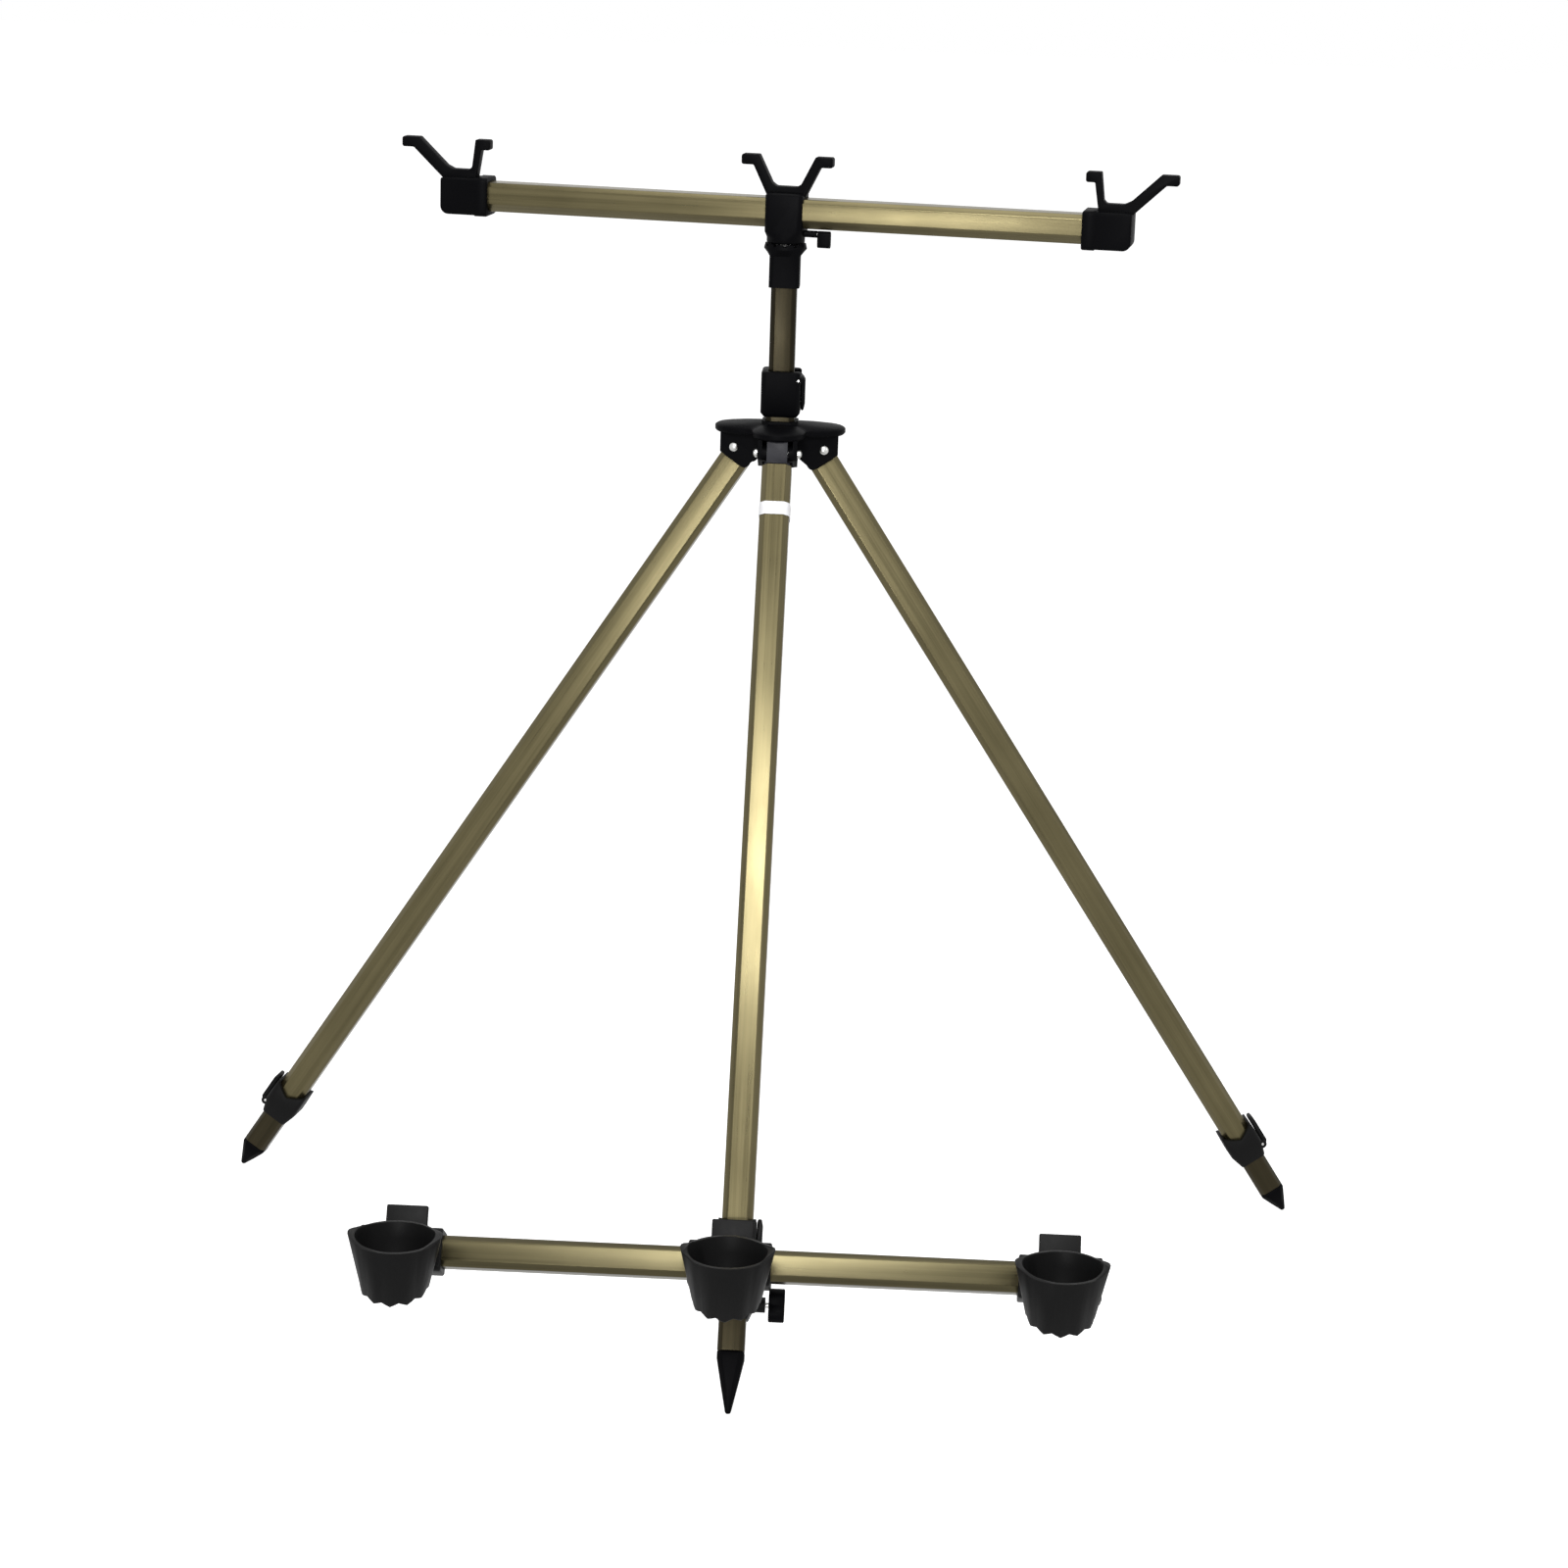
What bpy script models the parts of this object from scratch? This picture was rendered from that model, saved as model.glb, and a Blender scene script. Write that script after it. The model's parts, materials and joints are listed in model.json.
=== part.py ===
# Rod tripod: three folding legs, a short mast with a swivelling rod bar, and a lower bar of butt cups.
# Units are metres. The front leg points along -Y, the mast is upright and the ground is at z = 0.

import math
from collections import namedtuple

import bmesh
import bpy
from mathutils import Matrix, Vector

MM = 0.001

# Tubes
TUBE_WIDTH = 22.0 * MM
TUBE_CORNER = 4.0 * MM
TUBE_WALL = 1.2 * MM
SLIDE_GAP = 0.2 * MM
SEAT_GAP = 0.3 * MM
PIN_GAP = 0.1 * MM
INNER_INSET = TUBE_WALL + SLIDE_GAP
INNER_WIDTH = TUBE_WIDTH - 2 * INNER_INSET

# Where the legs hinge under the hub
PIN_REACH = 31.6 * MM
PIN_OFFSET = 4.45 * MM
PIN_RADIUS = 2.5 * MM
TUBE_TOP = 10.0 * MM

# Legs: lean from upright, and distances down the tube from the hinge pin
SIDE_AZIMUTH = math.radians(100.0)
SIDE_LEAN = math.radians(33.0)
SIDE_FOOT = 735.0 * MM
SIDE_COLLAR_END = 681.0 * MM
SIDE_SPIKE = 23.0 * MM
SIDE_INNER_TOP = 120.0 * MM
FRONT_LEAN = math.radians(29.6)
FRONT_COLLAR_END = 603.5 * MM
FRONT_SPIKE = 43.0 * MM
FRONT_INNER_TOP = 150.0 * MM
SPIKE_TIP = 1.5 * MM
BAND_TOP = 39.5 * MM
BAND_LENGTH = 10.0 * MM

# The three feet reach the ground together
PIVOT_HEIGHT = SIDE_FOOT * math.cos(SIDE_LEAN) + (PIN_OFFSET + SPIKE_TIP) * math.sin(SIDE_LEAN)
FRONT_DROP = PIVOT_HEIGHT - (PIN_OFFSET + SPIKE_TIP) * math.sin(FRONT_LEAN)
FRONT_FOOT = FRONT_DROP / math.cos(FRONT_LEAN)

# The mast stands behind the middle of the footprint
MAST_Y = 168.2 * MM

# Hub, with heights from the hinge pins
PLATE_LOW = 10.3 * MM
PLATE_RIM = 14.6 * MM
PLATE_CROWN = 18.6 * MM
LOBE_RADIUS = 19.5 * MM
SIDE_LOBE_TIP = 49.5 * MM
FRONT_LOBE_TIP = 42.0 * MM
LOBE_BLEND = 12
EAR_INNER = TUBE_WIDTH / 2 + 0.4 * MM
EAR_THICKNESS = 3.2 * MM
EYE_HALF = 7.65 * MM
SOCKET_WALL = 2.45 * MM
SOCKET_LOW = -14.0 * MM
SOCKET_FLOOR = 2.0 * MM
SOCKET_TOP = 20.5 * MM

# Lock collars and their cam levers
COLLAR_HALF = 13.8 * MM
COLLAR_MOUTH = 10.6 * MM
COLLAR_TAPER = 12.0 * MM
COLLAR_SEAT = 13.3 * MM
COLLAR_NOTCH = 22.5 * MM
COLLAR_TIP = 30.5 * MM
LEVER_RISE = 8.5 * MM
LEVER_OUT = 13.0 * MM
CAM_RADIUS = 3.1 * MM
LEVER_HALF = 7.0 * MM
LEVER_PIN = 1.2 * MM
LEVER_REACH = 22.5 * MM
LEVER_OUTER = 17.9 * MM

# Mast, with heights from the hinge pins
MAST_COLLAR_LOW = 24.0 * MM
MAST_COLLAR_TOP = 58.0 * MM
MAST_COLLAR_HALF = 14.7 * MM
MAST_TUBE_TOP = 45.0 * MM
MAST_LEVER_Z = 51.5 * MM
SLEEVE_LOW = 120.4 * MM
SLEEVE_HALF = 11.4 * MM
RING_LOW = 145.9 * MM
RING_RADIUS = 16.0 * MM
RING_TEETH = 12
HEAD_LOW = 153.0 * MM
MAST_INNER_TOP = 137.0 * MM
SWIVEL_RADIUS = 4.0 * MM

# Head and rod bar
HEAD_TURN = math.radians(-8.9)
BAR_Z = 175.3 * MM
BAR_SHIFT = -2.5 * MM
BAR_HALF_LENGTH = 254.5 * MM
BAR_TOP_CORNER = 3.1 * MM
BAR_LOW_CORNER = 6.6 * MM
HEAD_HALF = 14.2 * MM
HEAD_TOP = 190.0 * MM
FORK_DEPTH = 10.0 * MM
FORK_VALLEY = 194.6 * MM
FORK_ROOT = 4.9 * MM
HOOK_TOP = FORK_VALLEY + 22.6 * MM
HOOK_THICKNESS = 7.6 * MM
CAP_GRIP = 30.5 * MM
CAP_END_WALL = 5.5 * MM
CAP_HALF = 13.6 * MM
END_FORK_PLACE = 14.5 * MM
TAB_AXIS_Z = 160.3 * MM
TAB_RADIUS = 2.6 * MM
TAB_DROP = 10.0 * MM

# Lower bar, its cups and the bracket on the front leg
CUP_BAR_DOWN = FRONT_COLLAR_END + 5.6 * MM
CUP_BAR_OUT = 29.4 * MM
CUP_BAR_HALF = 253.0 * MM
CUP_PITCH = CUP_BAR_HALF - 23.0 * MM
CUP_FORWARD = 40.0 * MM
CUP_RIM_Z = 25.5 * MM
CUP_BASE_Z = -8.0 * MM
CUP_BASE_SLOPE = math.radians(15.0)
CUP_RIM_RADIUS = 30.5 * MM
CUP_BASE_RADIUS = 24.0 * MM
CUP_WALL = 2.8 * MM
CUP_TEETH = 12
CUP_POINTS = 48
GRIP_HALF = 15.25 * MM
GRIP_LENGTH = 58.0 * MM
BACK_TAB_WIDTH = 29.5 * MM
BACK_TAB_UP = 33.7 * MM
BRACKET_TOP = CUP_BAR_DOWN - 4.4 * MM
BRACKET_END = CUP_BAR_DOWN + 34.3 * MM
BRACKET_HALF = 14.2 * MM
WING_DOWN = CUP_BAR_DOWN + 23.0 * MM
WING_INNER = 24.8 * MM
WING_OUTER = 36.0 * MM
WING_RADIUS = 12.0 * MM

OLIVE_GOLD = (0.265, 0.225, 0.115)
BRONZE = (0.075, 0.062, 0.033)
BLACK_PLASTIC = (0.013, 0.013, 0.014)
BLUE_BLACK = (0.024, 0.024, 0.030)
STEEL = (0.55, 0.55, 0.53)
WHITE = (0.82, 0.82, 0.84)

Leg = namedtuple("Leg", "name azimuth lean collar_end foot spike inner_top lobe_tip ear_reach collar_turn")
LEGS = (
    Leg("left", -SIDE_AZIMUTH, SIDE_LEAN, SIDE_COLLAR_END, SIDE_FOOT, SIDE_SPIKE,
        SIDE_INNER_TOP, SIDE_LOBE_TIP, 42.4 * MM, 0.0),
    Leg("right", SIDE_AZIMUTH, SIDE_LEAN, SIDE_COLLAR_END, SIDE_FOOT, SIDE_SPIKE,
        SIDE_INNER_TOP, SIDE_LOBE_TIP, 42.4 * MM, 0.0),
    Leg("front", 0.0, FRONT_LEAN, FRONT_COLLAR_END, FRONT_FOOT, FRONT_SPIKE,
        FRONT_INNER_TOP, FRONT_LOBE_TIP, 36.5 * MM, math.pi / 2),
)


# Scene helpers

def clear_scene():
    for obj in list(bpy.data.objects):
        bpy.data.objects.remove(obj)


def add_object(name, mesh, parent, location=(0.0, 0.0, 0.0), rotation=(0.0, 0.0, 0.0)):
    obj = bpy.data.objects.new(name, mesh)
    bpy.context.collection.objects.link(obj)
    obj.parent = parent
    obj.location = location
    obj.rotation_euler = rotation
    return obj


def paint(obj, colour, metallic, roughness):
    material = bpy.data.materials.new(obj.name)
    material.use_nodes = True
    shader = material.node_tree.nodes["Principled BSDF"]
    shader.inputs["Base Color"].default_value = (*colour, 1.0)
    shader.inputs["Metallic"].default_value = metallic
    shader.inputs["Roughness"].default_value = roughness
    obj.data.materials.append(material)
    return obj


def paint_plastic(obj, colour=BLACK_PLASTIC):
    return paint(obj, colour, 0.0, 0.48)


def paint_tube(obj, colour=OLIVE_GOLD):
    return paint(obj, colour, 0.85, 0.38)


def paint_steel(obj):
    return paint(obj, STEEL, 1.0, 0.3)


# Outlines, each a list of flat points

def square_outline(width, corner):
    half = width / 2
    short = half - corner
    return [(half, -short), (half, short), (short, half), (-short, half),
            (-half, short), (-half, -short), (-short, -half), (short, -half)]


# Growing an outline by one amount all round changes its cut corners by less
CORNER_GROWTH = 2 - math.sqrt(2)


def tube_outline(grow):
    return square_outline(TUBE_WIDTH + 2 * grow, TUBE_CORNER + CORNER_GROWTH * grow)


def bar_outline(grow):
    half = TUBE_WIDTH / 2 + grow
    top = half - BAR_TOP_CORNER - CORNER_GROWTH * grow
    low = half - BAR_LOW_CORNER - CORNER_GROWTH * grow
    return [(half, -low), (half, top), (top, half), (-top, half),
            (-half, top), (-half, -low), (-low, -half), (low, -half)]


def rounded_outline(half, radius, corner_steps=4, side_steps=4):
    points = []
    for side in range(4):
        turn = Matrix.Rotation(side * math.pi / 2, 2)
        centre = half - radius
        for step in range(corner_steps + 1):
            angle = math.pi / 2 * step / corner_steps
            corner = Vector((centre + radius * math.cos(angle), centre + radius * math.sin(angle)))
            points.append(tuple(turn @ corner))
        for step in range(1, side_steps):
            along = centre - 2 * centre * step / side_steps
            points.append(tuple(turn @ Vector((along, half))))
    return points


def arc(centre, radius, start, end, steps):
    points = []
    for step in range(steps + 1):
        angle = math.radians(start + (end - start) * step / steps)
        points.append((centre[0] + radius * math.cos(angle), centre[1] + radius * math.sin(angle)))
    return points


# A circle with as many points, in the same places, as a rounded square
def round_outline(radius):
    return arc((0.0, 0.0), radius, 22.5, 371.25, 31)


def circle_outline(radius, count=24):
    return arc((0.0, 0.0), radius, 0.0, 360.0 * (count - 1) / count, count - 1)


def placed(outline, level, axis):
    if axis == "x":
        return [(level, u, v) for u, v in outline]
    if axis == "y":
        return [(u, level, v) for u, v in outline]
    return [(u, v, level) for u, v in outline]


# Solids made from rings of points

def ring_mesh(name, rings, hollow=False):
    mesh = bpy.data.meshes.new(name)
    shape = bmesh.new()
    loops = [[shape.verts.new(point) for point in ring] for ring in rings]
    spans = list(zip(loops, loops[1:]))
    if hollow:
        spans.append((loops[-1], loops[0]))
    else:
        shape.faces.new(loops[0])
        shape.faces.new(loops[-1])
    for first, second in spans:
        count = len(first)
        for index in range(count):
            after = (index + 1) % count
            shape.faces.new((first[index], first[after], second[after], second[index]))
    bmesh.ops.recalc_face_normals(shape, faces=shape.faces)
    shape.to_mesh(mesh)
    shape.free()
    mesh.shade_smooth()
    mesh.set_sharp_from_angle(angle=math.radians(35))
    return mesh


def prism_mesh(name, outline, low, high, axis):
    return ring_mesh(name, [placed(outline, low, axis), placed(outline, high, axis)])


def pipe_mesh(name, outer, inner, low, high, axis):
    rings = [placed(outer, low, axis), placed(outer, high, axis),
             placed(inner, high, axis), placed(inner, low, axis)]
    return ring_mesh(name, rings, hollow=True)


def tube_mesh(name, inset, low, high, axis="z"):
    return pipe_mesh(name, tube_outline(-inset), tube_outline(-inset - TUBE_WALL), low, high, axis)


def soften(obj, width, segments=2):
    bevel = obj.modifiers.new("edges", "BEVEL")
    bevel.width = width
    bevel.segments = segments
    bevel.limit_method = "ANGLE"
    bevel.angle_limit = math.radians(40)
    return obj


def shape_with(target, tool, operation):
    tool.hide_render = True
    tool.display_type = "WIRE"
    step = target.modifiers.new(tool.name, "BOOLEAN")
    step.operation = operation
    step.solver = "EXACT"
    step.object = tool


def join(target, tool):
    shape_with(target, tool, "UNION")


def cut(target, tool):
    shape_with(target, tool, "DIFFERENCE")


# Hub

def lobe_reach(turn, tip):
    centre = tip - LOBE_RADIUS
    along = math.cos(turn)
    across = abs(math.sin(turn))
    if along <= 0:
        return LOBE_RADIUS
    if LOBE_RADIUS * along < centre * across:
        return LOBE_RADIUS / across
    return centre * along + math.sqrt(LOBE_RADIUS ** 2 - (centre * across) ** 2)


def plate_outline(inset, scale=1.0, count=60):
    points = []
    for index in range(count):
        angle = 2 * math.pi * index / count
        total = 0.0
        for leg in LEGS:
            reach = lobe_reach(angle - leg.azimuth + math.pi / 2, leg.lobe_tip)
            total += (reach / LOBE_RADIUS) ** LOBE_BLEND
        radius = (LOBE_RADIUS * total ** (1 / LOBE_BLEND) - inset) * scale
        points.append((radius * math.cos(angle), radius * math.sin(angle)))
    return points


def plate_rings():
    return [
        placed(plate_outline(1.2 * MM), PLATE_LOW, "z"),
        placed(plate_outline(0.0), PLATE_LOW + 1.2 * MM, "z"),
        placed(plate_outline(0.0), PLATE_RIM, "z"),
        placed(plate_outline(1.6 * MM), PLATE_RIM + 1.1 * MM, "z"),
        placed(plate_outline(1.6 * MM, 0.76), PLATE_RIM + 2.6 * MM, "z"),
        placed(plate_outline(1.6 * MM, 0.45), PLATE_CROWN, "z"),
    ]


# An ear ends in a slanted edge that is square to its leg, with a round heel
def ear_outline(leg):
    heel = 4.3 * MM
    corner = Vector((leg.ear_reach, -4.0 * MM))
    edge = Vector((-math.cos(leg.lean), -math.sin(leg.lean)))
    square = Vector((-math.sin(leg.lean), math.cos(leg.lean)))
    centre = corner + edge * (leg.ear_reach - 22.8 * MM) + square * heel
    start = math.degrees(leg.lean) - 90.0
    bottom = arc(centre, heel, start, -165.0, 6)
    inner = [(12.0 * MM, -6.0 * MM), (12.0 * MM, PLATE_LOW + 0.5 * MM)]
    outline = [(leg.ear_reach, PLATE_LOW + 0.5 * MM), tuple(corner)] + bottom + inner
    return [(-reach, height) for reach, height in outline]


def make_hub(mast_frame):
    hub = add_object("leg_hub", ring_mesh("leg_hub", plate_rings()), mast_frame)
    socket = prism_mesh("hub_socket", tube_outline(SOCKET_WALL), SOCKET_LOW, SOCKET_TOP, "z")
    join(hub, add_object("hub_socket", socket, mast_frame))
    for leg in LEGS:
        sector = add_object(leg.name + "_sector", None, mast_frame, rotation=(0.0, 0.0, leg.azimuth))
        for side in (-1, 1):
            low = side * EAR_INNER
            high = side * (EAR_INNER + EAR_THICKNESS)
            label = "{}_ear_{}".format(leg.name, "a" if side < 0 else "b")
            ear = add_object(label, prism_mesh(label, ear_outline(leg), low, high, "x"), sector)
            join(hub, ear)
            boss_outline = circle_outline(6.0 * MM)
            boss_low = side * (EYE_HALF + SEAT_GAP)
            boss_high = side * (EAR_INNER + 1.0 * MM)
            boss = prism_mesh(label + "_boss", boss_outline, boss_low, boss_high, "x")
            join(hub, add_object(label + "_boss", boss, sector, (0.0, -PIN_REACH, 0.0)))
        hole = prism_mesh(leg.name + "_hole", circle_outline(PIN_RADIUS + PIN_GAP), -17 * MM, 17 * MM, "x")
        cut(hub, add_object(leg.name + "_hole", hole, sector, (0.0, -PIN_REACH, 0.0)))
    bore = prism_mesh("hub_bore", tube_outline(SEAT_GAP / 2), SOCKET_LOW + SOCKET_FLOOR, SOCKET_TOP + MM, "z")
    cut(hub, add_object("hub_bore", bore, mast_frame))
    paint_plastic(hub)


# Legs. In a leg's frame the pin is the origin, -Y points outward and the tube runs down -Z.

def knuckle_outline(leg):
    up = Vector((math.sin(leg.lean), math.cos(leg.lean)))
    out = Vector((math.cos(leg.lean), -math.sin(leg.lean)))
    stop = PLATE_LOW - SEAT_GAP
    heel_outer = up * stop + out * 7.0 * MM
    heel_inner = up * stop
    base = -TUBE_TOP + SEAT_GAP
    start = 90.0 - math.degrees(leg.lean) + 12.0
    crown = arc((0.0, 0.0), 9.3 * MM, start, 185.0, 8)
    outline = [(6.4 * MM, base), (8.4 * MM, -5.0 * MM), tuple(heel_outer), tuple(heel_inner)]
    outline += crown + [(-13.8 * MM, base)]
    return [(-out_by, height) for out_by, height in outline]


def make_knuckle(leg, frame):
    name = leg.name + "_leg_knuckle"
    knuckle = add_object(name, prism_mesh(name, knuckle_outline(leg), -EYE_HALF, EYE_HALF, "x"), frame)
    plug_outline = tube_outline(-TUBE_WALL - SEAT_GAP)
    plug = prism_mesh(name + "_plug", plug_outline, -34.0 * MM, -TUBE_TOP + 2.0 * MM, "z")
    join(knuckle, add_object(name + "_plug", plug, frame, (0.0, PIN_OFFSET, 0.0)))
    hole = prism_mesh(name + "_eye", circle_outline(PIN_RADIUS + PIN_GAP), -12 * MM, 12 * MM, "x")
    cut(knuckle, add_object(name + "_eye", hole, frame))
    paint_plastic(knuckle, BLUE_BLACK)


def make_pivot_bolt(leg, frame):
    name = leg.name + "_pivot_bolt"
    face = EAR_INNER + EAR_THICKNESS
    head = 3.2 * MM
    shank = circle_outline(PIN_RADIUS, 20)
    rim = circle_outline(head, 20)
    crown = circle_outline(head * 0.6, 20)
    stations = ((-face - 3.4 * MM, crown), (-face - 2.2 * MM, rim), (-face - SEAT_GAP / 3, rim),
                (-face - SEAT_GAP / 3, shank), (face + SEAT_GAP / 3, shank),
                (face + SEAT_GAP / 3, rim), (face + 2.2 * MM, rim), (face + 3.4 * MM, crown))
    rings = [placed(outline, level, "x") for level, outline in stations]
    paint_steel(add_object(name, ring_mesh(name, rings), frame))


def make_leg_tube(leg, frame):
    name = leg.name + "_leg_tube"
    end = leg.collar_end - COLLAR_SEAT - SEAT_GAP
    mesh = tube_mesh(name, 0.0, -end, -TUBE_TOP)
    paint_tube(add_object(name, mesh, frame, (0.0, PIN_OFFSET, 0.0)))


def end_plug_mesh(name, flange_low, flange_high, spigot_end):
    flange = tube_outline(-INNER_INSET)
    spigot = tube_outline(-INNER_INSET - TUBE_WALL - SEAT_GAP)
    stations = ((flange_low, flange), (flange_high, flange), (flange_high, spigot), (spigot_end, spigot))
    return ring_mesh(name, [placed(outline, level, "z") for level, outline in stations])


def make_inner_leg(leg, frame):
    place = (0.0, PIN_OFFSET, 0.0)
    spike_top = leg.foot - leg.spike
    name = leg.name + "_inner_leg"
    mesh = tube_mesh(name, INNER_INSET, -spike_top + SEAT_GAP, -leg.inner_top)
    paint_tube(add_object(name, mesh, frame, place), BRONZE)
    name = leg.name + "_glide_plug"
    top = -leg.inner_top
    mesh = end_plug_mesh(name, top + 3.3 * MM, top + SEAT_GAP, top - 12.0 * MM)
    paint_plastic(add_object(name, mesh, frame, place))
    name = leg.name + "_spike"
    spigot = tube_outline(-INNER_INSET - TUBE_WALL - SEAT_GAP)
    stations = (
        (-spike_top + 12.0 * MM, spigot),
        (-spike_top, spigot),
        (-spike_top, tube_outline(-INNER_INSET)),
        (-spike_top - 0.12 * leg.spike, square_outline(INNER_WIDTH, 3.6 * MM)),
        (-spike_top - 0.55 * leg.spike, square_outline(0.62 * INNER_WIDTH, 3.3 * MM)),
        (-leg.foot + 1.5 * MM, square_outline(4.4 * MM, 1.3 * MM)),
        (-leg.foot, square_outline(2 * SPIKE_TIP, 0.88 * MM)),
    )
    mesh = ring_mesh(name, [placed(outline, level, "z") for level, outline in stations])
    paint_plastic(add_object(name, mesh, frame, place))


def make_band(frame):
    low = -BAND_TOP - BAND_LENGTH
    inner = tube_outline(SEAT_GAP / 2)
    mesh = pipe_mesh("front_leg_band", tube_outline(1.5 * SEAT_GAP), inner, low, -BAND_TOP, "z")
    paint(add_object("front_leg_band", mesh, frame, (0.0, PIN_OFFSET, 0.0)), WHITE, 0.0, 0.5)


# Lock collars. In a lever's frame the pin is the origin, -Y points outward and +Z is the lever's free end.

def notched_ring(half, radius):
    ring = []
    for x, y in rounded_outline(half, radius):
        rise = (abs(y) / half) ** 1.2
        ring.append((x, y, COLLAR_NOTCH + (COLLAR_TIP - COLLAR_NOTCH) * rise))
    return ring


def leg_collar_rings():
    outer_bore = TUBE_WIDTH / 2 + SEAT_GAP
    inner_bore = INNER_WIDTH / 2 + SEAT_GAP
    return [
        placed(rounded_outline(COLLAR_MOUTH, 3.0 * MM), 0.0, "z"),
        placed(rounded_outline(COLLAR_HALF, 4.0 * MM), COLLAR_TAPER, "z"),
        placed(rounded_outline(COLLAR_HALF, 4.0 * MM), COLLAR_NOTCH - 4.0 * MM, "z"),
        notched_ring(COLLAR_HALF - 0.5 * MM, 3.5 * MM),
        notched_ring(outer_bore, 3.0 * MM),
        placed(rounded_outline(outer_bore, 3.0 * MM), COLLAR_SEAT, "z"),
        placed(rounded_outline(inner_bore, 2.4 * MM), COLLAR_SEAT, "z"),
        placed(rounded_outline(inner_bore, 2.4 * MM), 0.0, "z"),
    ]


def mast_collar_rings():
    outer_bore = TUBE_WIDTH / 2 + SEAT_GAP
    inner_bore = INNER_WIDTH / 2 + SEAT_GAP
    seat = MAST_TUBE_TOP + SEAT_GAP
    stations = (
        (MAST_COLLAR_LOW, 12.6 * MM, 4.0 * MM),
        (MAST_COLLAR_LOW + 3.0 * MM, MAST_COLLAR_HALF, 4.0 * MM),
        (MAST_COLLAR_TOP - 1.0 * MM, MAST_COLLAR_HALF, 4.0 * MM),
        (MAST_COLLAR_TOP, MAST_COLLAR_HALF - 0.9 * MM, 4.0 * MM),
        (MAST_COLLAR_TOP, inner_bore, 2.4 * MM),
        (seat, inner_bore, 2.4 * MM),
        (seat, outer_bore, 3.0 * MM),
        (MAST_COLLAR_LOW, outer_bore, 3.0 * MM),
    )
    return [placed(rounded_outline(half, radius), level, "z") for level, half, radius in stations]


def lever_outline(collar_half):
    inner = collar_half - LEVER_OUT + SEAT_GAP
    outer = LEVER_OUTER - LEVER_OUT
    outline = [(outer - 1.4 * MM, -1.9 * MM), (outer, 0.4 * MM), (outer, LEVER_REACH - 3.0 * MM)]
    outline += [(outer - 0.7 * MM, LEVER_REACH), (inner + 0.6 * MM, LEVER_REACH)]
    outline += [(inner, LEVER_REACH - 2.0 * MM), (inner, CAM_RADIUS + SEAT_GAP + 0.8 * MM)]
    outline += arc((0.0, 0.0), CAM_RADIUS, 60.0, 300.0, 12)
    return [(-out_by, height) for out_by, height in outline]


def add_lever(collar, prefix, frame, collar_half):
    slot_half = LEVER_HALF + 0.2 * MM
    ear_width = 3.2 * MM
    for side in (-1, 1):
        label = "{}_knuckle_{}".format(prefix, "a" if side < 0 else "b")
        low = side * (slot_half - 0.5 * MM)
        high = side * (slot_half + ear_width)
        outline = circle_outline(CAM_RADIUS + 0.2 * MM, 20)
        join(collar, add_object(label, prism_mesh(label, outline, low, high, "x"), frame))
    slot_inner = LEVER_OUT - INNER_WIDTH / 2 - PIN_GAP
    slot_outline = [(-7.0 * MM, -9.0 * MM), (slot_inner, -9.0 * MM), (slot_inner, 4.0 * MM), (-7.0 * MM, 4.0 * MM)]
    slot = prism_mesh(prefix + "_slot", slot_outline, -slot_half, slot_half, "x")
    cut(collar, add_object(prefix + "_slot", slot, frame))
    hole_outline = circle_outline(LEVER_PIN + PIN_GAP, 16)
    hole = add_object(prefix + "_pin_hole", prism_mesh(prefix + "_pin_hole", hole_outline, -20 * MM, 20 * MM, "x"), frame)
    cut(collar, hole)
    name = prefix + "_lock_lever"
    lever = add_object(name, prism_mesh(name, lever_outline(collar_half), -LEVER_HALF, LEVER_HALF, "x"), frame)
    cut(lever, hole)
    paint_plastic(soften(lever, 0.5 * MM, 1))
    name = prefix + "_lever_pin"
    end = slot_half + ear_width
    pin = prism_mesh(name, circle_outline(LEVER_PIN, 16), -end, end, "x")
    paint_steel(add_object(name, pin, frame))


def make_leg_collar(leg, frame):
    name = leg.name + "_lock_collar"
    turn = (0.0, 0.0, leg.collar_turn)
    base = add_object(leg.name + "_collar_frame", None, frame, (0.0, PIN_OFFSET, -leg.collar_end), turn)
    collar = add_object(name, ring_mesh(name, leg_collar_rings(), hollow=True), base)
    lever_frame = add_object(leg.name + "_lever_frame", None, base, (0.0, -LEVER_OUT, LEVER_RISE))
    add_lever(collar, leg.name, lever_frame, COLLAR_HALF)
    paint_plastic(collar)


def make_leg(leg):
    root = Matrix.Rotation(leg.azimuth, 3, "Z") @ Vector((0.0, -PIN_REACH, 0.0))
    location = root + Vector((0.0, MAST_Y, PIVOT_HEIGHT))
    frame = add_object(leg.name + "_leg_frame", None, None, location, (-leg.lean, 0.0, leg.azimuth))
    make_knuckle(leg, frame)
    make_pivot_bolt(leg, frame)
    make_leg_tube(leg, frame)
    make_leg_collar(leg, frame)
    make_inner_leg(leg, frame)
    if leg.name == "front":
        make_band(frame)
    return frame


# Mast

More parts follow.
